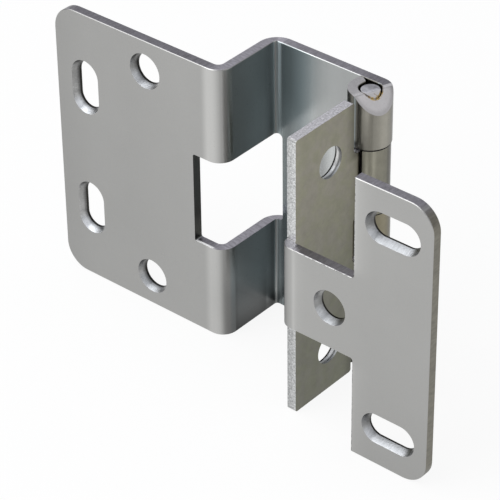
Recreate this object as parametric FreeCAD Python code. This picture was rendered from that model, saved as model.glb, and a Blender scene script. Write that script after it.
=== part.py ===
import FreeCAD, Part
import math
import os

# Five-knuckle wrap-round cabinet hinge, in millimetres.
# The pin stands on the Z axis. +X runs to the right along the plates, +Y runs away from the viewer.
# Both leaves are modelled as they stand in the photograph: the door leaf is turned square to the frame leaf.

# Sheet and height
HEIGHT = 70.0
SHEET = 2.3
MID = HEIGHT / 2.0
EDGE_ROLL = 0.25
PIN_EDGE = 0.15

# Pin and rolled knuckles
PIN_R = 2.14
PIN_SINK = 0.19
RUN_FIT = 0.19
DOOR_BORE_R = PIN_R + RUN_FIT
DOOR_ROLL_R = DOOR_BORE_R + SHEET
FRAME_BORE_R = 2.55
FRAME_ROLL_R = FRAME_BORE_R + SHEET
ROLL_SHIFT = FRAME_BORE_R - PIN_R - 0.13
ROLL_X = -0.64 * ROLL_SHIFT
ROLL_Y = 0.768 * ROLL_SHIFT
END_KNUCKLE = 12.6
DOOR_KNUCKLE = 16.1
KNUCKLE_GAP = 0.3

# Oblique bevel ground across the pin and the end knuckles
BEVEL_TURN = -21.5
BEVEL_SLOPE = 50.0
BEVEL_START = 1.05
BEVEL_LEAD = 8.0
BEVEL_ROUND = 2.4

# Frame leaf
FRONT_Y = -15.55
STEP_X = -28.15
LEFT_X = -77.0
LEAF_CORNER = 6.0
BEND_IN = 1.5
BEND_IN_BACK = 0.7
BEND_OUT_BACK = 4.7
TIP_STRAIGHT = 1.25
TIP_CUT = 146.0
TIP_GAP = 0.15
TIP_ROUND = 0.9
FRAME_NOTCH = 6.6
NOTCH_ROUND = 1.4
WINDOW_LEFT = -36.6
WINDOW_RIGHT = -26.35
WINDOW_HALF = 11.45
FRAME_SLOT_X = -68.45
FRAME_SLOT_Z = 18.8
FRAME_SLOT_LONG = 13.7
FRAME_SLOT_R = 3.98
FRAME_SLOT_BACK_R = 3.12
FRAME_HOLE_X = -50.1
FRAME_HOLE_Z = 7.7
FRAME_HOLE_R = 4.32
FRAME_HOLE_BACK_R = 3.65

# Door leaf
DOOR_FACE_X = 1.07
WRAP_Y = -28.8
WRAP_BEND_IN = 0.5
DOOR_NOTCH = 6.75
EDGE_CORNER = 0.6
SEAM_GAP = 0.4
ROLL_FLARE = 1.6
DOOR_HOLE_Y = -14.55
DOOR_HOLE_Z = 10.85
DOOR_HOLE_R = 4.4
DOOR_HOLE_BACK_R = 3.72
NECK_HALF = 10.3
NECK_HOLE_X = 12.4
NECK_HOLE_R = 4.2
NECK_HOLE_BACK_R = 3.5
TEE_X = 18.55
TEE_WIDE = 19.9
TEE_CORNER = 6.0
TEE_SLOT_X = 28.35
TEE_SLOT_Z = 9.4
TEE_SLOT_LONG = 13.95
TEE_SLOT_R = 3.79
TEE_SLOT_BACK_R = 3.0

# Straight land left at the narrow end of every screw opening
LAND = 0.4
OVER = 0.5
FAR = 40.0

V = FreeCAD.Vector
UP = V(0, 0, 1)


def line(a, b):
    return Part.LineSegment(a, b).toShape()


def arc(centre, radius, start, end):
    """Arc in plan between two angles in degrees, start to end in the order given."""
    points = []
    for angle in (start, (start + end) / 2.0, end):
        turn = math.radians(angle)
        points.append(centre + V(radius * math.cos(turn), radius * math.sin(turn), 0))
    return Part.Arc(*points).toShape()


def polar(centre, radius, angle):
    turn = math.radians(angle)
    return centre + V(radius * math.cos(turn), radius * math.sin(turn), 0)


def raise_plan(edges, low=0.0, high=HEIGHT):
    """Solid raised from a closed plan outline between two heights."""
    wire = Part.Wire(Part.__sortEdges__(edges))
    solid = Part.Face(wire).extrude(V(0, 0, high - low))
    solid.translate(V(0, 0, low))
    return solid


def stadium(centre, along, across, half, radius):
    """Rounded slot outline; a plain circle when it has no straight part."""
    if half <= 0:
        return Part.Wire(Part.Circle(centre, along.cross(across), radius).toShape())
    a = centre - along * half
    b = centre + along * half
    side = across * radius
    return Part.Wire([
        line(a + side, b + side),
        Part.Arc(b + side, b + along * radius, b - side).toShape(),
        line(b - side, a - side),
        Part.Arc(a - side, a - along * radius, a + side).toShape(),
    ])


def screw_opening(face_centre, inward, along, long, r_face, r_back):
    """Tapered opening, wide at the screw-head face, with a short straight land behind."""
    across = inward.cross(along)
    half = max(long / 2.0 - r_face, 0.0)
    depth = SHEET - LAND
    slope = (r_face - r_back) / depth
    mouth = stadium(face_centre - inward * OVER, along, across, half, r_face + slope * OVER)
    throat = stadium(face_centre + inward * depth, along, across, half, r_back)
    taper = Part.makeLoft([mouth, throat], True, True)
    land = Part.Face(throat).extrude(inward * (LAND + OVER))
    return taper.fuse(land)


def round_corner(x, z, radius, face_y, sx, sz):
    """Piece removed at an outline corner of an upright plate facing -Y."""
    block = Part.makeBox(radius + OVER, SHEET + 2, radius + OVER)
    block.translate(V(0, -1, 0))
    disc = Part.makeCylinder(radius, SHEET + 4, V(0, -2, 0), V(0, 1, 0))
    piece = block.cut(disc)
    if sx < 0:
        piece = piece.mirror(V(0, 0, 0), V(1, 0, 0))
    if sz < 0:
        piece = piece.mirror(V(0, 0, 0), V(0, 0, 1))
    piece.translate(V(x - sx * radius, face_y, z - sz * radius))
    return piece


def bevel_tool(top):
    """Wedge above the ground face at the upper or lower end of the pin, its crest rounded over."""
    lead = math.radians(BEVEL_LEAD)
    slope = math.radians(BEVEL_SLOPE)
    fall = BEVEL_ROUND * (math.cos(lead) - math.cos(slope))
    start = BEVEL_START + fall / math.tan(slope) - BEVEL_ROUND * (math.sin(slope) - math.sin(lead))
    run = FAR
    crest = []
    for angle in (lead, (lead + slope) / 2.0, slope):
        across = start + BEVEL_ROUND * (math.sin(angle) - math.sin(lead))
        crest.append(V(across, -FAR, BEVEL_ROUND * (math.cos(angle) - math.cos(lead))))
    low_end = V(start + run, -FAR, crest[2].z - (start + run - crest[2].x) * math.tan(slope))
    wedge = Part.Face(Part.Wire([
        Part.Arc(*crest).toShape(),
        line(crest[2], low_end),
        line(low_end, V(start + run, -FAR, 5)),
        line(V(start + run, -FAR, 5), V(start, -FAR, 5)),
        line(V(start, -FAR, 5), crest[0]),
    ])).extrude(V(0, 2 * FAR, 0))
    wedge.rotate(V(0, 0, 0), UP, BEVEL_TURN)
    if top:
        wedge.translate(V(0, 0, HEIGHT))
    else:
        wedge = wedge.mirror(V(0, 0, 0), UP)
    return wedge


def soften(solid, test, radius):
    """Round the edges that pass the test."""
    picked = [edge for edge in solid.Edges if test(edge)]
    return solid.makeFillet(radius, picked)


def samples(edge):
    first, last = edge.ParameterRange
    return [edge.valueAt(first + (last - first) * step) for step in (0.02, 0.5, 0.98)]


def upright(edge):
    points = samples(edge)
    return math.hypot(points[0].x - points[2].x, points[0].y - points[2].y) < 1e-4


# Knuckle stations from the bottom up: frame, door, frame, door, frame
low = 0.0
frame_spans = [(low, END_KNUCKLE)]
door_low = END_KNUCKLE + KNUCKLE_GAP
door_spans = [(door_low, door_low + DOOR_KNUCKLE)]
middle_low = door_low + DOOR_KNUCKLE + KNUCKLE_GAP
frame_spans.append((middle_low, HEIGHT - middle_low))
door_spans.append((HEIGHT - door_low - DOOR_KNUCKLE, HEIGHT - door_low))
frame_spans.append((HEIGHT - END_KNUCKLE, HEIGHT))


def make_frame_leaf():
    roll = V(ROLL_X, ROLL_Y, 0)
    back = ROLL_Y + FRAME_BORE_R
    outer = back + SHEET
    bend_out = BEND_IN + SHEET

    # The last stretch of the strip stays straight, and its trimmed end lies close to the back plate
    leave = 175.0
    ahead = polar(V(0, 0, 0), 1.0, leave - 90)
    cut_way = polar(V(0, 0, 0), 1.0, TIP_CUT)
    tip_in = polar(roll, FRAME_BORE_R, leave) + ahead * TIP_STRAIGHT
    shy = back - TIP_GAP
    tip_top = tip_in + cut_way * ((shy - tip_in.y) / cut_way.y)
    out_start = polar(roll, FRAME_ROLL_R, leave)
    tip_out = out_start + ahead * ((shy - out_start.y) / ahead.y)
    c1 = V(STEP_X - bend_out, FRONT_Y + bend_out, 0)
    c2 = V(STEP_X + BEND_IN_BACK, back - BEND_IN_BACK, 0)
    c3 = V(STEP_X - SHEET + BEND_OUT_BACK, outer - BEND_OUT_BACK, 0)
    edges = [
        line(V(LEFT_X, FRONT_Y, 0), V(c1.x, FRONT_Y, 0)),
        arc(c1, bend_out, -90, 0),
        line(V(STEP_X, c1.y, 0), V(STEP_X, c2.y, 0)),
        arc(c2, BEND_IN_BACK, 180, 90),
        line(V(c2.x, back, 0), V(ROLL_X, back, 0)),
        arc(roll, FRAME_BORE_R, 90, leave - 360),
        line(polar(roll, FRAME_BORE_R, leave), tip_in),
        line(tip_in, tip_top),
        line(tip_top, tip_out),
        line(tip_out, out_start),
        arc(roll, FRAME_ROLL_R, leave - 360, 90),
        line(V(ROLL_X, outer, 0), V(c3.x, outer, 0)),
        arc(c3, BEND_OUT_BACK, 90, 180),
        line(V(STEP_X - SHEET, c3.y, 0), V(STEP_X - SHEET, c1.y, 0)),
        arc(c1, BEND_IN, 0, -90),
        line(V(c1.x, FRONT_Y + SHEET, 0), V(LEFT_X, FRONT_Y + SHEET, 0)),
        line(V(LEFT_X, FRONT_Y + SHEET, 0), V(LEFT_X, FRONT_Y, 0)),
    ]
    leaf = raise_plan(edges)

    leaf = soften(leaf, lambda e: upright_at(e, tip_out.x, tip_out.y), TIP_ROUND)

    # Rounded free corners, then the sheared rim rolled over on the side that faces the screws
    for z, sz in ((HEIGHT, 1), (0.0, -1)):
        leaf = leaf.cut(round_corner(LEFT_X, z, LEAF_CORNER, FRONT_Y, -1, sz))

    def on_front(point):
        flat = abs(point.y - FRONT_Y) < 1e-4 and point.x < c1.x + 1e-4
        bend = abs(math.hypot(point.x - c1.x, point.y - c1.y) - bend_out) < 1e-4 and point.y < c1.y + 1e-4
        step = abs(point.x - STEP_X) < 1e-4 and c1.y - 1e-4 < point.y < c2.y + 1e-4
        hollow = abs(math.hypot(point.x - c2.x, point.y - c2.y) - BEND_IN_BACK) < 1e-4 and point.y > c2.y - 1e-4
        rear = abs(point.y - back) < 1e-4 and c2.x - 1e-4 < point.x < ROLL_X + 1e-4
        return flat or bend or step or hollow or rear

    def rim(edge):
        if not all(on_front(point) for point in samples(edge)):
            return False
        return not upright(edge) or abs(edge.CenterOfMass.x - LEFT_X) < 1e-4

    leaf = soften(leaf, rim, EDGE_ROLL)

    # Spaces for the two door knuckles
    for low, high in door_spans:
        size = V(FRAME_NOTCH + FRAME_ROLL_R + 2, 3 * FRAME_ROLL_R, high - low + 2 * KNUCKLE_GAP)
        corner = V(-FRAME_NOTCH, -FRAME_ROLL_R - 1, low - KNUCKLE_GAP)
        leaf = leaf.cut(notch_box(corner, size, V(0, 1, 0), "x"))

    # Window that lets the neck of the door leaf through when the hinge closes
    window = Part.makeBox(WINDOW_RIGHT - WINDOW_LEFT, FAR, 2 * WINDOW_HALF,
                          V(WINDOW_LEFT, FRONT_Y - 2, MID - WINDOW_HALF))
    window = window.makeFillet(1.0, [e for e in window.Edges if along_y(e) and e.CenterOfMass.x > STEP_X])
    window = window.makeFillet(0.5, [e for e in window.Edges if along_y(e) and e.CenterOfMass.x < STEP_X])
    leaf = leaf.cut(window)

    # Screw slots and round screw holes, mirrored about mid-height
    for z in (FRAME_SLOT_Z, HEIGHT - FRAME_SLOT_Z):
        leaf = leaf.cut(screw_opening(V(FRAME_SLOT_X, FRONT_Y, z), V(0, 1, 0), UP,
                                      FRAME_SLOT_LONG, FRAME_SLOT_R, FRAME_SLOT_BACK_R))
    for z in (FRAME_HOLE_Z, HEIGHT - FRAME_HOLE_Z):
        leaf = leaf.cut(screw_opening(V(FRAME_HOLE_X, FRONT_Y, z), V(0, 1, 0), UP,
                                      0, FRAME_HOLE_R, FRAME_HOLE_BACK_R))

    for top in (True, False):
        leaf = leaf.cut(bevel_tool(top))
    return leaf


def make_door_leaf():
    axis = V(0, 0, 0)
    face = DOOR_FACE_X
    rear = face - SHEET
    bend_out = WRAP_BEND_IN + SHEET
    tip_x = face + SEAM_GAP
    right = TEE_X + TEE_WIDE

    # The sheet joggles aside by one bend before it rolls round the pin, at full thickness all the way
    flare_x = rear - ROLL_FLARE
    reach = DOOR_ROLL_R + ROLL_FLARE
    flare_y = -math.sqrt(reach ** 2 - flare_x ** 2)
    flare = V(flare_x, flare_y, 0)
    touch = math.degrees(math.atan2(-flare_y, -flare_x))
    roll_touch = math.degrees(math.atan2(flare_y, flare_x))
    tip_in = math.degrees(math.atan2(-math.sqrt(DOOR_BORE_R ** 2 - tip_x ** 2), tip_x))
    tip_out = math.degrees(math.atan2(-math.sqrt(DOOR_ROLL_R ** 2 - tip_x ** 2), tip_x))
    c = V(face + WRAP_BEND_IN, WRAP_Y + bend_out, 0)
    edges = [
        line(V(right, WRAP_Y, 0), V(c.x, WRAP_Y, 0)),
        arc(c, bend_out, -90, -180),
        line(V(rear, c.y, 0), V(rear, flare_y, 0)),
        arc(flare, ROLL_FLARE, 0, touch),
        arc(axis, DOOR_ROLL_R, roll_touch, tip_out - 360),
        line(polar(axis, DOOR_ROLL_R, tip_out), polar(axis, DOOR_BORE_R, tip_in)),
        arc(axis, DOOR_BORE_R, tip_in - 360, roll_touch),
        arc(flare, ROLL_FLARE + SHEET, touch, 0),
        line(V(face, flare_y, 0), V(face, c.y, 0)),
        arc(c, WRAP_BEND_IN, -180, -90),
        line(V(c.x, WRAP_Y + SHEET, 0), V(right, WRAP_Y + SHEET, 0)),
        line(V(right, WRAP_Y + SHEET, 0), V(right, WRAP_Y, 0)),
    ]
    leaf = raise_plan(edges)

    # Spaces above, between and below the two knuckles
    for low, high in frame_spans:
        size = V(4 * DOOR_ROLL_R, DOOR_NOTCH + DOOR_ROLL_R + 2, high - low + 2 * KNUCKLE_GAP)
        corner = V(-2 * DOOR_ROLL_R, -DOOR_NOTCH, low - KNUCKLE_GAP)
        leaf = leaf.cut(notch_box(corner, size, V(1, 0, 0), "y"))

    # Outer corners of the edge plate beside the end knuckles
    def end_corner(edge, along):
        middle = edge.CenterOfMass
        level = abs(middle.z) < 1e-4 or abs(middle.z - HEIGHT) < 1e-4
        return level and abs(middle.y - along) < 1e-4 and edge.BoundBox.XLength > 0.9 * SHEET

    leaf = soften(leaf, lambda e: end_corner(e, -DOOR_NOTCH), EDGE_CORNER)

    # Neck at mid-height: the bend and the plate are cut away above and below it
    for z in (MID + NECK_HALF, -FAR):
        high = FAR + HEIGHT if z > 0 else MID - NECK_HALF
        away = Part.makeBox(TEE_X - rear + 4, SHEET + bend_out, high - z, V(rear - 4, WRAP_Y - OVER, z))
        corner_edges = [e for e in away.Edges if along_y(e) and abs(e.CenterOfMass.x - TEE_X) < 0.01]
        away = away.makeFillet(0.6, corner_edges)
        leaf = leaf.cut(trimmed(away, c.y))
    leaf = soften(leaf, lambda e: end_corner(e, c.y), EDGE_CORNER)

    # Large rounded corners on the free edge
    for z, sz in ((HEIGHT, 1), (0.0, -1)):
        leaf = leaf.cut(round_corner(right, z, TEE_CORNER, WRAP_Y, 1, sz))

    # Sheared rim of the tee plate and the neck rolled over on the side that faces the screws
    def on_wrap(point):
        flat = abs(point.y - WRAP_Y) < 1e-4 and point.x > c.x - 1e-4
        bend = abs(math.hypot(point.x - c.x, point.y - c.y) - bend_out) < 1e-4 and point.y < c.y + 1e-4
        return flat or (bend and point.x < c.x + 1e-4)

    def rim(edge):
        if not all(on_wrap(point) for point in samples(edge)):
            return False
        return not upright(edge) or edge.CenterOfMass.x > TEE_X - 1e-4

    leaf = soften(leaf, rim, EDGE_ROLL)

    # Screw slots across the free end, one hole in the neck, two in the edge plate
    for z in (TEE_SLOT_Z, HEIGHT - TEE_SLOT_Z):
        leaf = leaf.cut(screw_opening(V(TEE_SLOT_X, WRAP_Y, z), V(0, 1, 0), V(1, 0, 0),
                                      TEE_SLOT_LONG, TEE_SLOT_R, TEE_SLOT_BACK_R))
    leaf = leaf.cut(screw_opening(V(NECK_HOLE_X, WRAP_Y, MID), V(0, 1, 0), UP,
                                  0, NECK_HOLE_R, NECK_HOLE_BACK_R))
    for z in (DOOR_HOLE_Z, HEIGHT - DOOR_HOLE_Z):
        leaf = leaf.cut(screw_opening(V(rear, DOOR_HOLE_Y, z), V(1, 0, 0), UP,
                                      0, DOOR_HOLE_R, DOOR_HOLE_BACK_R))
    return leaf


def make_pin():
    pin = Part.makeCylinder(PIN_R, HEIGHT - 2 * PIN_SINK, V(0, 0, PIN_SINK))
    pin = soften(pin, lambda e: e.Length > PIN_R * 3 and not upright(e) and e.isClosed(), PIN_EDGE)
    for top in (True, False):
        pin = pin.cut(bevel_tool(top))
    return pin


def along_y(edge):
    run = edge.lastVertex().Point - edge.firstVertex().Point
    return run.Length > 1e-6 and abs(run.y) > 0.99 * run.Length


def upright_at(edge, x, y):
    middle = edge.CenterOfMass
    tall = edge.BoundBox.ZLength > 0.9 * HEIGHT
    return tall and math.hypot(middle.x - x, middle.y - y) < 0.01


def trimmed(solid, back_y):
    """Keep only the part of a cutter in front of the plane where the wrap bend starts."""
    box = Part.makeBox(4 * FAR, FAR, 8 * FAR, V(-2 * FAR, back_y - FAR, -4 * FAR))
    return solid.common(box)


def notch_box(corner, size, axis, inward):
    """Cutter for a knuckle space whose inner corners are rounded."""
    box = Part.makeBox(size.x, size.y, size.z, corner)
    picked = []
    for edge in box.Edges:
        run = edge.lastVertex().Point - edge.firstVertex().Point
        if abs(run.normalize().dot(axis)) < 0.99:
            continue
        middle = edge.CenterOfMass
        level = middle.x - corner.x if inward == "x" else middle.y - corner.y
        inside = 0.01 < middle.z < HEIGHT - 0.01
        if level < 0.01 and inside:
            picked.append(edge)
    return box.makeFillet(NOTCH_ROUND, picked)


os.makedirs("parts", exist_ok=True)
for name, shape in (
    ("frame_leaf", make_frame_leaf()),
    ("door_leaf", make_door_leaf()),
    ("hinge_pin", make_pin()),
):
    shape = shape.removeSplitter()
    solids = shape.Solids
    print(name, "solids", len(solids), "valid", shape.isValid(), "volume", round(shape.Volume, 2))
    solids[0].exportStep("parts/" + name + ".step")
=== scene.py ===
import math

import bpy
from mathutils import Matrix, Vector

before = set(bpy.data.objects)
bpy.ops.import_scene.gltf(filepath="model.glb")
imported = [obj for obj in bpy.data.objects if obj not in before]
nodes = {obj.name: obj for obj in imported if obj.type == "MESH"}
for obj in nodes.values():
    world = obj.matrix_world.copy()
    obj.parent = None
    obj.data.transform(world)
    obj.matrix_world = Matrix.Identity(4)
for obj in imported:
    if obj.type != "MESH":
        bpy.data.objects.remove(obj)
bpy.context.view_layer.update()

# Frame leaf
# One strip of 2.3 mm mild steel, blanked, pierced, stepped in a press brake and rolled
# into three knuckles, then zinc plated to a dull satin grey. The blanked rim stays
# darker and streaked, and the screw openings are coined smooth.

# Places are in millimetres, in the part's own axes: x and y from the pin, z up from the foot.
MM_PER_M = 1000.0
HEIGHT = 70.0
HALF_HEIGHT = HEIGHT / 2
FRAME_ROLL = (-0.179, 0.215)
FRAME_SLOT = (-68.45, -14.4)
WINDOW_LEFT = -36.6
WINDOW_HALF = 11.45
BEND_END = -11.7
CREST_WAY = (0.930, -0.367)
STAIN_WAY = (0.97, -0.26)
BEVEL_FACING = (0.713, -0.281, 0.643)
RIM_TURN = (0.25, 0.5)
WALL_TURN = (0.62, 0.75)
SATIN = 0.25
GRAIN_DEPTH = 0.010

# Sockets of a colour Mix node.
FACTOR, UNDER, OVER, MIXED = 0, 6, 7, 2


def rgb(red, green, blue):
    return (red, green, blue, 1.0)


PLATE = rgb(0.360, 0.360, 0.352)
# Hue of a painted cool reflection.
COOL_REFLECTION = rgb(0.88, 0.99, 1.04)
KNUCKLE = rgb(0.245, 0.236, 0.205)
KNUCKLE_LOW = rgb(0.178, 0.162, 0.116)
SEAM_HUE = rgb(0.92, 1.05, 1.20)
RIM = rgb(0.285, 0.275, 0.300)
# White of a painted highlight on the window's lip.
LIP_HIGHLIGHT = rgb(0.95, 0.95, 0.95)
COINED = rgb(0.425, 0.425, 0.420)
# Hue of painted light on the walls of the screw openings.
PAINTED_LIGHT_HUE = rgb(0.97, 1.0, 1.05)
# Near black of painted shade, on the lands of the openings and under the door's right end.
PAINTED_SHADE_DARK = rgb(0.030, 0.029, 0.026)
WINDOW_WALL = rgb(0.095, 0.095, 0.088)
GROUND = rgb(0.500, 0.490, 0.495)
RUST = rgb(0.460, 0.310, 0.080)
OLD_RUST = rgb(0.090, 0.055, 0.022)
SMEAR = rgb(0.150, 0.090, 0.040)


class Field:
    """A shader socket that can be used in sums."""

    def __init__(self, tree, socket=None):
        self.tree = tree
        self.socket = socket

    def node(self, kind, settings=None, values=None, out=0):
        """A new node's output, or a list of them where out is a tuple of names."""
        made = self.tree.nodes.new(kind)
        for key, value in (settings or {}).items():
            setattr(made, key, value)
        for key, value in (values or {}).items():
            target = made.inputs[key]
            if isinstance(value, Field):
                self.tree.links.new(value.socket, target)
            else:
                target.default_value = value
        if isinstance(out, tuple):
            return [Field(self.tree, made.outputs[name]) for name in out]
        return Field(self.tree, made.outputs[out])

    def maths(self, operation, *terms):
        return self.node("ShaderNodeMath", {"operation": operation}, dict(enumerate(terms)))

    def __add__(self, other):
        return self.maths("ADD", self, other)

    def __sub__(self, other):
        return self.maths("SUBTRACT", self, other)

    def __mul__(self, other):
        return self.maths("MULTIPLY", self, other)

    def __rsub__(self, other):
        return self.maths("SUBTRACT", other, self)

    def __neg__(self):
        return self.maths("MULTIPLY", self, -1.0)

    def __abs__(self):
        return self.maths("ABSOLUTE", self)

    __radd__ = __add__
    __rmul__ = __mul__

    def either(self, other):
        return self.maths("MAXIMUM", self, other)

    def root(self):
        return self.maths("SQRT", self)

    def parts(self):
        """The three numbers of a vector."""
        return self.node("ShaderNodeSeparateXYZ", None, {0: self}, ("X", "Y", "Z"))

    def ramp(self, low, high, bottom=0.0, top=1.0):
        """Smooth step from bottom to top as the field goes from low to high."""
        return self.node("ShaderNodeMapRange", {"interpolation_type": "SMOOTHSTEP"},
                         {0: self, 1: low, 2: high, 3: bottom, 4: top})

    def fall(self, low, high):
        """Smooth step from one down to nothing."""
        return 1 - self.ramp(low, high)

    def span(self, start, full, fade, stop):
        """One from full to fade, nothing before start and after stop."""
        return self.ramp(start, full) * self.fall(fade, stop)

    def slight(self, low, high):
        """One where the field is near nothing, whatever its sign."""
        return 1 - abs(self).ramp(low, high)

    def band(self, centre, half, soft):
        """One near the centre value, nothing beyond the half width."""
        return (self - centre).slight(half - soft, half)

    def profile(self, *stops):
        """Straight steps between a few stops, each a place and a level."""
        level = stops[0][1]
        for (low, bottom), (high, top) in zip(stops, stops[1:]):
            rise = self.node("ShaderNodeMapRange", None, {0: self, 1: low, 2: high, 3: 0.0, 4: top - bottom})
            level = rise + level
        return level

    def mix(self, under, over):
        """Number that goes from one to the other by this mask."""
        return under * (1 - self) + over * self

    def blend(self, under, over):
        """Colour that goes from one to the other by this mask."""
        return self.node("ShaderNodeMix", {"data_type": "RGBA"},
                         {FACTOR: self, UNDER: under, OVER: over}, MIXED)

    def tinge(self, colour, hue):
        """Colour multiplied by a hue where this mask is one."""
        return self.node("ShaderNodeMix", {"data_type": "RGBA", "blend_type": "MULTIPLY"},
                         {FACTOR: self, UNDER: colour, OVER: hue}, MIXED)

    def shade(self, colour):
        """Colour multiplied all over by this field."""
        grey = self.node("ShaderNodeCombineColor", None, {0: self, 1: self, 2: self})
        return self.node("ShaderNodeMix", {"data_type": "RGBA", "blend_type": "MULTIPLY"},
                         {FACTOR: 1.0, UNDER: colour, OVER: grey}, MIXED)


class Finish:
    """A plated steel surface, with its place in millimetres and its facing."""

    def __init__(self, name):
        self.material = bpy.data.materials.new(name)
        self.material.use_nodes = True
        self.tree = self.material.node_tree
        self.surface = self.tree.nodes["Principled BSDF"]
        metres, self.facing = Field(self.tree).node("ShaderNodeTexCoord", out=("Object", "Normal"))
        self.place = metres.node("ShaderNodeVectorMath", {"operation": "SCALE"}, {0: metres, 3: MM_PER_M})
        self.x, self.y, self.z = self.place.parts()
        self.nx, self.ny, self.nz = self.facing.parts()
        self.end = abs(self.z - HALF_HEIGHT)
        self.flat_end = abs(self.nz).ramp(0.80, 0.95)

    def grain(self, scale, stretch=(1, 1, 1), detail=3.0, rough=0.6):
        """Noise from nothing to one, in marks per millimetre, closer along a larger stretch."""
        spread = self.place.node("ShaderNodeVectorMath", {"operation": "MULTIPLY"},
                                 {0: self.place, 1: stretch})
        return spread.node("ShaderNodeTexNoise", {"noise_dimensions": "3D"},
                           {"Vector": spread, "Scale": scale, "Detail": detail, "Roughness": rough})

    def away(self, across, along):
        """Distance in plan from an upright line."""
        dx = self.x - across
        dy = self.y - along
        return (dx * dx + dy * dy).root()

    def toward(self, way):
        """Distance in plan from the pin's axis, measured along a direction."""
        return self.x * way[0] + self.y * way[1]

    def facing_along(self, direction, low, high):
        """One where the surface faces the direction."""
        dot = self.facing.node("ShaderNodeVectorMath", {"operation": "DOT_PRODUCT"},
                               {0: self.facing, 1: tuple(Vector(direction).normalized())}, "Value")
        return dot.ramp(low, high)

    def put(self, socket, value):
        """Links or sets one socket of the surface."""
        if isinstance(value, Field):
            self.tree.links.new(value.socket, self.surface.inputs[socket])
        else:
            self.surface.inputs[socket].default_value = value

    def relief(self, height, depth):
        """Fine surface relief from a field of heights."""
        self.put("Normal", height.node("ShaderNodeBump", None,
                                       {"Strength": 1.0, "Distance": depth / MM_PER_M, "Height": height}))


def coined_wall(level, lit, land):
    """Wall of a screw opening, in a cooler hue where painted light falls, with painted shade on its land."""
    return land.blend(lit.tinge(level.shade(COINED), PAINTED_LIGHT_HUE), PAINTED_SHADE_DARK)


def ground_bevel(steel):
    """The oblique face ground across the pin and the end knuckles, at the top and at the bottom."""
    low_facing = (BEVEL_FACING[0], BEVEL_FACING[1], -BEVEL_FACING[2])
    cut = steel.facing_along(BEVEL_FACING, 0.90, 0.97).either(steel.facing_along(low_facing, 0.90, 0.97))
    return cut * steel.x.ramp(-2.0, -1.0) * steel.end.ramp(28.5, 29.5)


def painted_crest_highlight(steel):
    """Painted highlight where the flat end turns over into the oblique ground face."""
    return steel.toward(CREST_WAY).profile((0.1, 1.0), (0.5, 1.25), (1.0, 1.58), (1.3, 1.22),
                                           (1.5, 1.08), (2.4, 1.02))


def rust_arc(steel, radius, centre, half):
    """Stain round the front of the joint between the pin and the ground knuckle end."""
    front = steel.toward(STAIN_WAY).ramp(-0.2, 1.3)
    patches = steel.grain(1.7, rough=0.7).ramp(0.34, 0.56)
    return radius.band(centre, half, half * 0.7) * front * steel.end.ramp(30.5, 31.5) * patches


def rust_colour(steel):
    """Bright orange in the middle of the stain and nearly black at its ends."""
    bright = steel.toward((0.95, -0.30)).ramp(1.2, 2.1) * steel.grain(2.6).ramp(0.30, 0.55)
    return bright.blend(OLD_RUST, RUST)


# In each section s is the finish of the piece in hand.
s = Finish("satin_plated_frame_leaf")
cloud = s.grain(0.07)
speck = s.grain(2.4, rough=0.7)
mottle = s.grain(0.55, detail=4.0, rough=0.65)

# Step: painted shade low down and toward the inner corner, a painted bright line in the corner itself,
# and a painted reflection of the pale floor in its foot.
step_side = s.nx.ramp(0.45, 0.99) * s.x.span(-31.5, -31.0, -27.6, -27.2)
step_painted_light = s.z.profile((2, 0.36), (24, 0.61), (50, 1.06))
step_painted_light *= s.y.profile((BEND_END, 0.90), (-8, 0.88), (-4, 0.90), (-1.5, 0.80), (0, 0.55),
                          (1.1, 0.33), (1.8, 0.45), (2.1, 1.5))
step_painted_light *= 1 - s.z.fall(9, 18) * s.y.profile((BEND_END, 0.30), (-8, 0.14), (-4, 0.0))
over_floor = s.z + s.y * 0.88 - 2.76
step_foot_painted_light = over_floor.profile((-7, 1.0), (-4, 0.92), (-1.2, 0.80), (0.2, 0.95),
                               (2.2, 1.26), (5.5, 1.20), (9, 1.03), (12, 1.0))
step_foot_painted_light *= s.z.profile((0.6, 0.50), (2, 0.70), (4, 0.90), (6, 1.0))
corner_foot_painted_light = s.z.profile((1.5, 0.9), (2.5, 1.4), (4, 2.2), (6, 1.9), (9, 1.5), (12, 1.3),
                          (16, 1.1), (21, 1.0))
step_foot_painted_light = s.y.ramp(-1.5, -0.5).mix(step_foot_painted_light, corner_foot_painted_light)

# First bend: painted highlights and reflections in light and dark bands as it turns, and painted shade in a
# thin crease where it ends.
bend_painted_light = s.nx.profile((0.62, 0.90), (0.71, 0.72), (0.80, 1.10), (0.90, 1.42), (0.97, 1.30), (1.0, 1.12))
bend_light_by_height = s.z.profile((5, 1.12), (11, 1.06), (17, 0.92), (26, 0.93), (38, 1.0))
bend_painted_light *= 1 + s.nx.ramp(0.72, 0.90) * (bend_light_by_height - 1)
on_bend = s.y.fall(BEND_END - 0.1, BEND_END)
crease_painted_shade = s.y.band(-11.45, 0.75, 0.5) * s.z.fall(36, 52)
step_painted_light *= on_bend.mix(step_foot_painted_light, bend_painted_light) * (1 - crease_painted_shade * 0.12)

# Big plate: nearly even, painted a little lighter toward the top, and paler toward the first bend with a
# painted highlight.
bend_one_painted_highlight = s.x.band(-31.5, 2.7, 2.3) * (-s.ny).ramp(0.1, 0.5)
big_plate_painted_light = s.x.profile((-77.5, 0.92), (-67, 0.99), (-56, 1.0), (-38, 1.05))
big_plate_painted_light *= s.z.ramp(0, HEIGHT, 0.99, 1.05)
big_plate_painted_light += bend_one_painted_highlight * s.z.ramp(8, 50, 0.28, 0.44)

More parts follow.
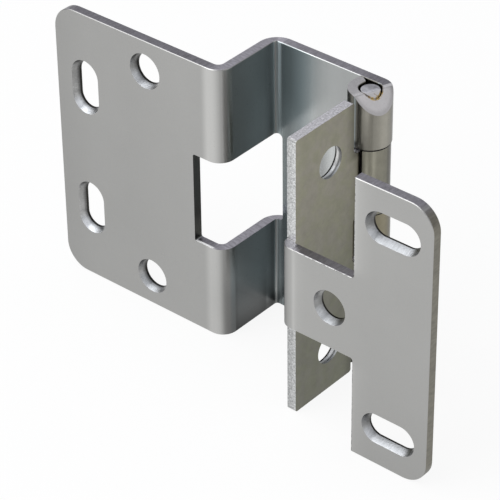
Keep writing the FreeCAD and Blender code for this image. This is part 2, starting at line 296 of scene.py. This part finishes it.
# Back plate: painted reflections, a bright line in the inner corner and a pale band at mid-width,
# and painted shade low down beside the step.
back_plate = (-s.ny).ramp(0.5, 0.9) * s.y.ramp(1.8, 2.5)
back_painted_light = s.x.profile((-27.7, 0.9), (-27.4, 2.5), (-26.9, 2.5), (-26.6, 1.7), (-26.2, 1.25),
                         (-25.5, 1.05), (-24, 0.96))
back_painted_light *= 1 - s.x.band(-27.1, 0.7, 0.3) * s.z.fall(48, 62) * 0.45
back_painted_light += s.x.profile((-24, 0), (-20, 0.57), (-18, 0.74), (-16, 0.46), (-14, 0.28), (-9, 0.12))
back_painted_light *= 1 - s.x.fall(-25.5, -23.5) * s.z.profile((1, 0.70), (2, 0.62), (4, 0.30), (8, 0.0))
back_low_painted_bands = s.x.profile((-26.5, 0.24), (-23.5, 0.24), (-21.5, -0.08), (-19, -0.24), (-15, -0.22),
                        (-12.5, 0.36))
back_painted_light *= 1 + s.z.fall(50, 60) * back_low_painted_bands

# All flat plating together, with painted shade in the second bend, and bluer on the step and on the
# back plate beside it with a painted cool reflection.
level = back_plate.mix(step_side.mix(big_plate_painted_light, step_painted_light), back_painted_light)
bend_two_painted_shade = s.x.band(-27.75, 0.32, 0.12) * s.y.ramp(2.3, 2.6)
level *= 1 - bend_two_painted_shade * 0.45
fine = cloud * 0.08 + speck * 0.09 + 0.915
step_cool_reflection = s.nx.ramp(0.88, 0.99) * step_side * s.z.ramp(2, 14, 0.4, 1.0)
back_cool_reflection = back_plate * (1 - s.x.ramp(-22.0, -16.0, 0.0, 0.7))
plate = step_cool_reflection.either(back_cool_reflection).tinge((level * fine).shade(PLATE), COOL_REFLECTION)

# Knuckles: brown-grey and mottled, darker and browner low down, with painted reflections in upright
# stripes, painted shade where they face back, and a bluish seam.
roll_away = s.away(*FRAME_ROLL)
rolled = roll_away.fall(5.0, 5.8)
roll_painted_light = s.nx.profile((-0.28, 0.86), (-0.17, 0.40), (-0.09, 1.15), (0.0, 0.50), (0.09, 0.72),
                          (0.18, 2.0), (0.27, 1.72), (0.36, 1.10), (0.50, 1.34), (0.64, 1.64),
                          (0.78, 1.04), (0.87, 1.07), (0.95, 1.28))
roll_painted_light *= s.ny.profile((-0.10, 1.0), (0.10, 0.78), (0.30, 0.42)) * (mottle * 0.36 + 0.82)
roll_painted_light *= 1 - s.z.fall(58.5, 59.5) * s.nx.band(0.13, 0.30, 0.15) * 0.72
plate = rolled.blend(plate, roll_painted_light.shade(s.z.ramp(46, 58).blend(KNUCKLE_LOW, KNUCKLE)))
seam = s.nx.band(-0.08, 0.09, 0.04) * s.end.ramp(20, 21) * rolled
plate = seam.tinge(plate, SEAM_HUE)

# Blanked rim: streaked across the sheet, with a white painted highlight on the lip at the window.
left_end = s.x.fall(-71.2, -70.6) * s.ny.slight(*RIM_TURN) * s.away(*FRAME_SLOT).ramp(5.0, 5.5)
blanked = s.flat_end.either(left_end)
cross_streak = s.grain(1.1, (2.0, 0.40, 2.0), rough=0.7)
long_streak = s.grain(1.1, (0.40, 2.0, 2.0), rough=0.7)
streak = s.x.span(-30.8, -30.2, -27.6, -27.0).mix(cross_streak, long_streak)
rim_level = s.x.ramp(-33.5, -29.5, 0.84, 1.46) * s.x.ramp(-27.5, -22.0, 1.0, 0.76)
rim_level *= 1 - s.x.ramp(-6.0, -1.5) * s.y.ramp(2.6, 2.8) * 0.28
rim_tone = ((streak * 1.5 + 0.25) * rim_level).shade(RIM)
lip_highlight = s.end.band(WINDOW_HALF, 0.2, 0.1) * s.y.fall(-15.15, -14.75) * s.x.fall(-32.0, -30.5)
rim_tone = lip_highlight.blend(rim_tone, LIP_HIGHLIGHT)

# Knuckle ends: ground, with a painted highlight up to the crest, then over into the oblique face.
roll_top = s.flat_end * rolled * s.y.fall(2.45, 2.70).either(s.toward(CREST_WAY).ramp(0.0, 0.3))
top_level = (mottle * 0.35 + speck * 0.60 + 0.56) * painted_crest_highlight(s)
rim_tone = roll_top.blend(rim_tone, top_level.shade(GROUND))
frame_colour = blanked.blend(plate, rim_tone)

# Screw openings and window: coined walls with painted light where they face up, painted shade where
# they face down, deeper in and on the land, and a dark side wall.
inside = s.x.span(-74.0, -73.6, -44.4, -44.0) * s.end.fall(31.9, 32.2)
opening_wall = inside * s.ny.slight(*WALL_TURN)
wall_streak = s.grain(1.2, (3.0, 0.5, 3.0), detail=2.0)
wall_lit = s.facing_along((0.42, -0.30, 0.86), 0.55, 0.95)
wall_painted_light = (s.nz.ramp(-0.9, -0.05, 0.16, 1.02) + wall_lit * 0.95) * (wall_streak * 0.6 + 0.70)
wall_painted_light *= s.y.ramp(-14.7, -13.9, 1.0, 0.45)
land = s.y.ramp(-13.98, -13.72)
frame_colour = opening_wall.blend(frame_colour, coined_wall(wall_painted_light, wall_lit, land))
window_side = s.nx.ramp(0.7, 0.9) * s.x.band(WINDOW_LEFT, 0.5, 0.2)
frame_colour = window_side.blend(frame_colour, WINDOW_WALL)

# Oblique ground face, scratched one way, with a painted highlight at the crest and painted shade toward
# its back and its outer edge, the rust round the pin and a brown smear.
ground = ground_bevel(s)
scratch = s.grain(1.1, (0.6, 5.0, 0.6), detail=2.0)
ground_painted_light = painted_crest_highlight(s) * s.y.profile((0.5, 1.0), (2.6, 0.92), (3.6, 0.70))
ground_painted_light *= roll_away.profile((4.0, 1.0), (4.5, 0.80)) * (scratch * 0.16 + speck * 0.18 + 0.84)
frame_colour = ground.blend(frame_colour, ground_painted_light.shade(GROUND))
smear = s.away(3.6, 3.3).band(0.0, 0.9, 0.6) * s.z.band(65.6, 1.5, 1.0) * s.grain(1.3).ramp(0.38, 0.58)
frame_colour = (smear * 0.7).blend(frame_colour, SMEAR)
mouth = roll_away.fall(2.62, 2.68) * (1 - s.flat_end) * (1 - ground)
mouth *= s.end.ramp(29.5, 30.5) * s.toward(STAIN_WAY).ramp(0.6, 1.6)
stain = (rust_arc(s, roll_away, 2.62, 0.16) * s.flat_end.either(ground)).either(mouth)
frame_colour = stain.blend(frame_colour, rust_colour(s))

in_corner = s.x.band(-27.4, 1.0, 0.3) * s.y.ramp(1.6, 2.1)
frame_rough = blanked * 0.10 + opening_wall * 0.07 - back_plate * 0.04 + in_corner * 0.2
s.put("Base Color", frame_colour)
# Less metallic on the painted highlight of the window's lip, so that it shows white.
s.put("Metallic", (1 - stain) * (1 - lip_highlight * s.flat_end * 0.75))
s.put("Roughness", frame_rough + speck * 0.08 + stain * 0.3 + SATIN)
s.relief(speck * 0.6 + streak * blanked * 1.4, GRAIN_DEPTH)
nodes["frame_leaf"].material_slots[0].material = s.material

# Door leaf
# The second strip of the same sheet: two knuckles on an edge plate, a narrow neck
# folded round at mid-height, and a tee plate with two level slots. The edge plate is
# coloured olive, and its knuckles brown.

NECK_HALF = 10.3
NECK_HOLE_X = 12.4
EDGE_HOLE_Y = -14.55
EDGE_HOLE_END = 24.15
OLIVE_TOP = rgb(0.240, 0.228, 0.190)
# Olive in painted shade, low on the edge plate.
OLIVE_IN_SHADE = rgb(0.140, 0.139, 0.115)
OLIVE_HUE = rgb(0.97, 1.0, 0.90)
DOOR_ROLL = rgb(0.190, 0.184, 0.150)
RIM_BROWN = rgb(0.178, 0.170, 0.142)
RIM_LIGHT = rgb(0.500, 0.508, 0.508)
RIM_TOP = rgb(0.640, 0.630, 0.655)
# Dark of worn nicks, and of painted shade on the edge plate's corner.
WORN_AND_SHADE = rgb(0.060, 0.058, 0.058)

s = Finish("satin_plated_door_leaf")
cloud = s.grain(0.08)
speck = s.grain(2.4, rough=0.7)
mottle = s.grain(0.55, detail=4.0, rough=0.65)

# Tee plate and neck: nearly even plating, painted lighter toward the top, with a painted highlight along
# the tee's left edge and painted light and shade in bands where the neck turns the corner.
tee_and_neck = s.x.ramp(1.4, 2.2) * s.y.fall(-26.4, -26.2)
wrap = s.y.fall(-26.6, -25.8) * s.end.fall(10.2, 10.5) * (1 - tee_and_neck)
tee_painted_light = s.z.profile((0, 0.96), (20, 1.06), (45, 1.10), (68, 1.14)) * s.x.profile((2, 1.06), (24, 1.0))
tee_left_painted_highlight = s.x.profile((18.7, 0.30), (19.6, 0.14), (21.5, 0.05), (24, 0.0))
tee_painted_light *= 1 + s.end.ramp(10, 14) * tee_left_painted_highlight * s.z.ramp(10, 55, 0.45, 1.0)
wrap_painted_light = s.x.fall(-0.9, 0.5) * -0.36 + s.x.band(1.6, 1.5, 1.2) * 0.20 + 1.16
neck_turn = (-s.ny).ramp(0.1, 0.5) * s.end.fall(NECK_HALF, NECK_HALF + 0.3)
turn_painted_light = s.x.profile((0.0, 0.42), (0.5, 0.48), (0.8, 0.64), (1.5, 0.77), (2.0, 0.97), (2.5, 1.18),
                         (2.8, 1.22), (3.1, 1.14), (3.4, 1.09), (4.0, 1.04), (6.0, 1.0))
level = tee_and_neck.mix(wrap_painted_light, tee_painted_light) * (1 + neck_turn * (turn_painted_light - 1))
fine = cloud * 0.08 + speck * 0.09 + 0.915
plate = (fine * level).shade(PLATE)

# Edge plate and door knuckles: olive and brown, mottled, with painted shade toward the foot and beside
# the knuckles, and painted reflections in bands on the knuckles.
on_edge_plate = s.x.fall(1.4, 1.8)
edge_face = s.nx.ramp(0.3, 0.8) * on_edge_plate * (1 - wrap)
olive = s.z.ramp(12, 64).blend(OLIVE_IN_SHADE, OLIVE_TOP)
olive = s.grain(0.30, rough=0.7).ramp(0.35, 0.65).tinge(olive, OLIVE_HUE)
near_roll_painted_shade = s.end.ramp(20, 22) * s.y.profile((-9.5, 0.0), (-6.3, 0.45))
olive_painted_shade = (mottle * 0.40 + speck * 0.22 + 0.71) * (1.08 - s.y.ramp(-26, -23, 0.0, 0.08) - near_roll_painted_shade)
plate = edge_face.blend(plate, olive_painted_shade.shade(olive))
rolled = s.away(0.0, 0.0).fall(4.8, 5.4)
# Painted reflections in bands round the knuckles, and painted shade where they face back.
roll_painted_light = s.nx.band(0.58, 0.30, 0.22) * 1.1 + 1.0
roll_painted_light *= s.ny.profile((-0.25, 1.12), (0.0, 0.92), (0.10, 0.55), (0.30, 0.30))
roll_painted_light += s.nx.band(0.27, 0.06, 0.04)
plate = rolled.blend(plate, (roll_painted_light * (mottle * 0.40 + 0.80)).shade(DOOR_ROLL))

# Blanked rim: streaked on the tee, brown on its right end with painted shade where it faces down, sparkling
# on the edge plate.
streak = s.grain(1.1, (2.0, 0.40, 2.0), rough=0.7)
neck_rim = s.end.band(NECK_HALF, 0.4, 0.1) * s.x.profile((1.5, -0.30), (3.5, 0.28), (10, 0.20), (17, 0.08))
tee_rim = ((streak * 1.5 + 0.30) * (1 + neck_rim)).shade(RIM)
rim_tone = s.nx.ramp(0.25, 0.85).blend(tee_rim, (streak * 1.1 + 0.47).shade(RIM_BROWN))
sparkle = s.grain(2.2, rough=0.8)
front_level = s.x.profile((-1.2, 0.80), (0.0, 0.90), (0.6, 1.0)) * s.z.profile((24, 0.84), (46, 1.0))
front_level = s.flat_end.mix(front_level, 0.88)
bright = ((sparkle * 3.0 - 0.28) * front_level).shade(s.flat_end.blend(RIM_LIGHT, RIM_TOP))
rim_tone = ((1 - tee_and_neck) * (1 - wrap)).blend(rim_tone, bright)
right_end = s.x.ramp(35.5, 36.0) * s.ny.slight(*RIM_TURN)
# Painted shade where the right end faces down.
rim_tone = (right_end * (-s.nz).ramp(0.1, 0.7) * 0.6).blend(rim_tone, PAINTED_SHADE_DARK)
front_edge = s.y.fall(-24.9, -24.5) * s.nx.slight(*RIM_TURN) * s.end.ramp(10.4, 10.6) * s.x.fall(1.4, 2.2)
blanked = s.flat_end.either(front_edge).either(right_end)
door_colour = blanked.blend(plate, rim_tone)

# Screw openings: the tee slots and the neck hole face front, the edge plate's sideways. Their walls
# have painted light where they face up and painted shade where they face down, deeper in and on the land.
inside = s.x.span(7.8, 8.0, 35.9, 36.1) * s.end.fall(29.9, 30.1)
neck_edge = s.end.ramp(9.9, 10.1) * s.x.fall(20.2, 20.6)
opening_wall = tee_and_neck * inside * (1 - neck_edge) * s.ny.slight(*WALL_TURN)
edge_hole = s.y.band(EDGE_HOLE_Y, 5.2, 0.3) * s.end.band(EDGE_HOLE_END, 5.2, 0.3)
edge_hole *= s.nx.slight(*WALL_TURN) * on_edge_plate
land = s.y.ramp(-27.02, -26.90) * opening_wall + s.x.fall(-0.80, -0.66) * edge_hole
ripple = s.grain(1.3, (2.4, 0.4, 1.0), detail=2.0)
wall_lit = s.facing_along((0.30, -0.30, 0.90), 0.55, 0.95)
wall_painted_light = (s.nz.ramp(-0.9, -0.1, 0.16, 0.80) + wall_lit * 1.05) * (ripple * 0.5 + speck * 0.3 + 0.60)
neck_hole = s.x.band(NECK_HOLE_X, 5.2, 0.3) * s.nz.ramp(-0.98, -0.60, 0.3, 0.95) * (ripple * 0.5 + 0.75)
wall_painted_light = wall_painted_light.either(neck_hole) * s.y.ramp(-28.1, -26.9, 1.0, 0.70)
upper_side = s.z.band(61.5, 2.5, 1.5) * -0.5 + 1.0
edge_wall = s.x.ramp(-0.2, 0.5, 1.6, 0.42) * upper_side * (ripple * 0.8 + 0.6)
wall_painted_light = edge_hole.mix(wall_painted_light, edge_wall)
walls = opening_wall.either(edge_hole)
door_colour = walls.blend(door_colour, coined_wall(wall_painted_light, wall_lit, land))

# Worn sharp edges: nicks along the neck and the tee's left side, and painted shade dimming the highlight
# on the edge plate's rounded corner.
arris = s.nz * -s.ny
neck_arris = arris.ramp(0.12, 0.40) * s.end.band(10.2, 0.5, 0.2) * s.x.fall(18.0, 18.5)
left_arris = s.x.band(18.6, 0.28, 0.1) * s.y.fall(-28.55, -28.40) * s.end.ramp(10.5, 11.0)
plate_corner_shade = arris.ramp(0.03, 0.38) * s.y.fall(-24.5, -24.0) * s.x.fall(1.0, 1.6) * s.end.ramp(10.6, 11.0)
nick = s.grain(1.2, (1, 1, 1.2), detail=2.0, rough=0.7).ramp(0.49, 0.58)
nicks_and_shade = (neck_arris * (nick * 0.5 + 0.15)).either(left_arris * nick * 0.7).either(plate_corner_shade * 0.60)
door_colour = nicks_and_shade.blend(door_colour, WORN_AND_SHADE)

s.put("Base Color", door_colour)
s.put("Metallic", 1.0)
s.put("Roughness", blanked * 0.10 + walls * 0.07 + edge_face * 0.06 + speck * 0.08 + SATIN)
s.relief(speck * 0.6 + streak * blanked * 1.4 + ripple * walls * 1.2, GRAIN_DEPTH)
nodes["door_leaf"].material_slots[0].material = s.material

# Pin
# Plain drawn steel rod, ground off flush and bevelled with the end knuckles, and
# stained orange where the plating is ground away.

PIN_SIDE = rgb(0.30, 0.30, 0.30)
PIN_END = rgb(0.54, 0.54, 0.57)
HAIR_WAY = (0.534, -0.845)
HAIR_RUN = (0.845, 0.534)

s = Finish("drawn_pin_steel")
speck = s.grain(2.0, rough=0.7)
blot = s.grain(0.9, rough=0.7)
# The ground end and bevel carry the painted crest highlight; the end also darkens toward the back.
end_level = (speck * 0.80 + blot * 0.80 + 0.15) * painted_crest_highlight(s) * s.y.profile((-0.6, 1.0), (1.2, 0.74))
pin_colour = s.flat_end.blend((speck * 0.35 + 0.80).shade(PIN_SIDE), end_level.shade(PIN_END))
bevel_level = (speck * 0.20 + blot * 0.10 + 0.85) * painted_crest_highlight(s)
pin_colour = ground_bevel(s).blend(pin_colour, bevel_level.shade(GROUND))

# Rust: an arc at the joint and a hair line on the end.
hair = s.toward(HAIR_WAY).band(1.215, 0.10, 0.06) * s.toward(HAIR_RUN).band(1.25, 0.50, 0.15)
hair *= s.end.ramp(31.0, 31.5) * speck.ramp(0.25, 0.5)
stain = rust_arc(s, s.away(0.0, 0.0), 2.10, 0.15).either(hair)
pin_colour = stain.blend(pin_colour, rust_colour(s))

s.put("Base Color", pin_colour)
s.put("Metallic", 1 - stain)
s.put("Roughness", speck * 0.15 + stain * 0.3 + 0.34)
s.relief(speck, GRAIN_DEPTH)
nodes["hinge_pin"].material_slots[0].material = s.material

# Floor
# A plain pale table. The camera and polished metal see it nearly white, and it
# keeps a faint shadow of the hinge.

FLOOR_DROP = 0.0001
FLOOR_GLOW = 0.90

bpy.ops.object.select_all(action="DESELECT")
bpy.ops.mesh.primitive_plane_add(size=6.0, location=(0, 0, -FLOOR_DROP))
floor = bpy.context.active_object
floor.name = "pale_floor"
table = bpy.data.materials.new("pale_table")
table.use_nodes = True
table.node_tree.nodes.clear()
camera_ray, glossy_ray, through_ray = Field(table.node_tree).node(
    "ShaderNodeLightPath", out=("Is Camera Ray", "Is Glossy Ray", "Is Transmission Ray"))
seen = camera_ray.either(glossy_ray).either(through_ray)
paint = seen.node("ShaderNodeBsdfDiffuse", None, {"Color": rgb(0.80, 0.80, 0.80)})
white = seen.node("ShaderNodeEmission", None, {"Color": rgb(1, 1, 1), "Strength": 1.0})
pale = seen.node("ShaderNodeMixShader", None, {0: FLOOR_GLOW, 1: paint, 2: white})
final = seen.node("ShaderNodeMixShader", None, {0: seen, 1: paint, 2: pale})
final.node("ShaderNodeOutputMaterial", None, {"Surface": final}, ())
floor.data.materials.append(table)

# Studio light
# Large soft boxes above, in front and on the right, in a grey room that the camera
# sees as white.

HINGE_MIDDLE = Vector((-0.02, -0.01, 0.035))

world = bpy.data.worlds.new("studio_room")
bpy.context.scene.world = world
world.use_nodes = True
world.node_tree.nodes.clear()
camera_ray = Field(world.node_tree).node("ShaderNodeLightPath", out="Is Camera Ray")
room = camera_ray.node("ShaderNodeBackground", None, {"Color": rgb(0.95, 0.96, 1.0), "Strength": 0.55})
backdrop = camera_ray.node("ShaderNodeBackground", None, {"Color": rgb(1, 1, 1), "Strength": 1.0})
mixed = camera_ray.node("ShaderNodeMixShader", None, {0: camera_ray, 1: room, 2: backdrop})
mixed.node("ShaderNodeOutputWorld", None, {"Surface": mixed}, ())


def soft_box(name, direction, distance, wide, high, watts, tint=(1.0, 1.0, 1.0)):
    """A rectangular lamp that faces the hinge from a direction."""
    lamp = bpy.data.lights.new(name, "AREA")
    lamp.shape = "RECTANGLE"
    lamp.size = wide
    lamp.size_y = high
    lamp.energy = watts
    lamp.color = tint
    holder = bpy.data.objects.new(name, lamp)
    bpy.context.scene.collection.objects.link(holder)
    toward = Vector(direction).normalized()
    holder.location = HINGE_MIDDLE + toward * distance
    holder.rotation_euler = (-toward).to_track_quat("-Z", "Y").to_euler()


soft_box("top_box", (-0.45, -0.30, 0.84), 0.9, 1.2, 1.0, 6.4)
soft_box("front_box", (-0.30, -0.85, 0.44), 0.9, 0.8, 0.7, 3.0)
soft_box("right_box", (0.78, 0.10, 0.62), 0.9, 0.9, 0.9, 0.9, (1.0, 0.98, 0.96))

# Camera
# A long lens from the right, in front and above, as in the photograph. Its place and
# angles in degrees come from a fit to points measured in the photograph.

CAMERA_PLACE = (0.28625, -0.37313, 0.35575)
CAMERA_ANGLES = (40.888, 34.821, -0.835)

lens = bpy.data.cameras.new("photo_camera")
camera = bpy.data.objects.new("photo_camera", lens)
bpy.context.scene.collection.objects.link(camera)
lens.sensor_width = 36.0
lens.lens = 188.57
lens.shift_x = 0.02
lens.clip_start = 0.01
azimuth, pitch, roll = (math.radians(angle) for angle in CAMERA_ANGLES)
ahead = Vector((-math.sin(azimuth) * math.cos(pitch), math.cos(azimuth) * math.cos(pitch), -math.sin(pitch)))
sideways = Vector((math.cos(azimuth), math.sin(azimuth), 0))
above = sideways.cross(ahead)
right = sideways * math.cos(roll) + above * math.sin(roll)
up = above * math.cos(roll) - sideways * math.sin(roll)
camera.location = CAMERA_PLACE
camera.rotation_euler = Matrix((right, up, -ahead)).transposed().to_euler()
bpy.context.scene.camera = camera
bpy.context.scene.view_settings.view_transform = "Standard"
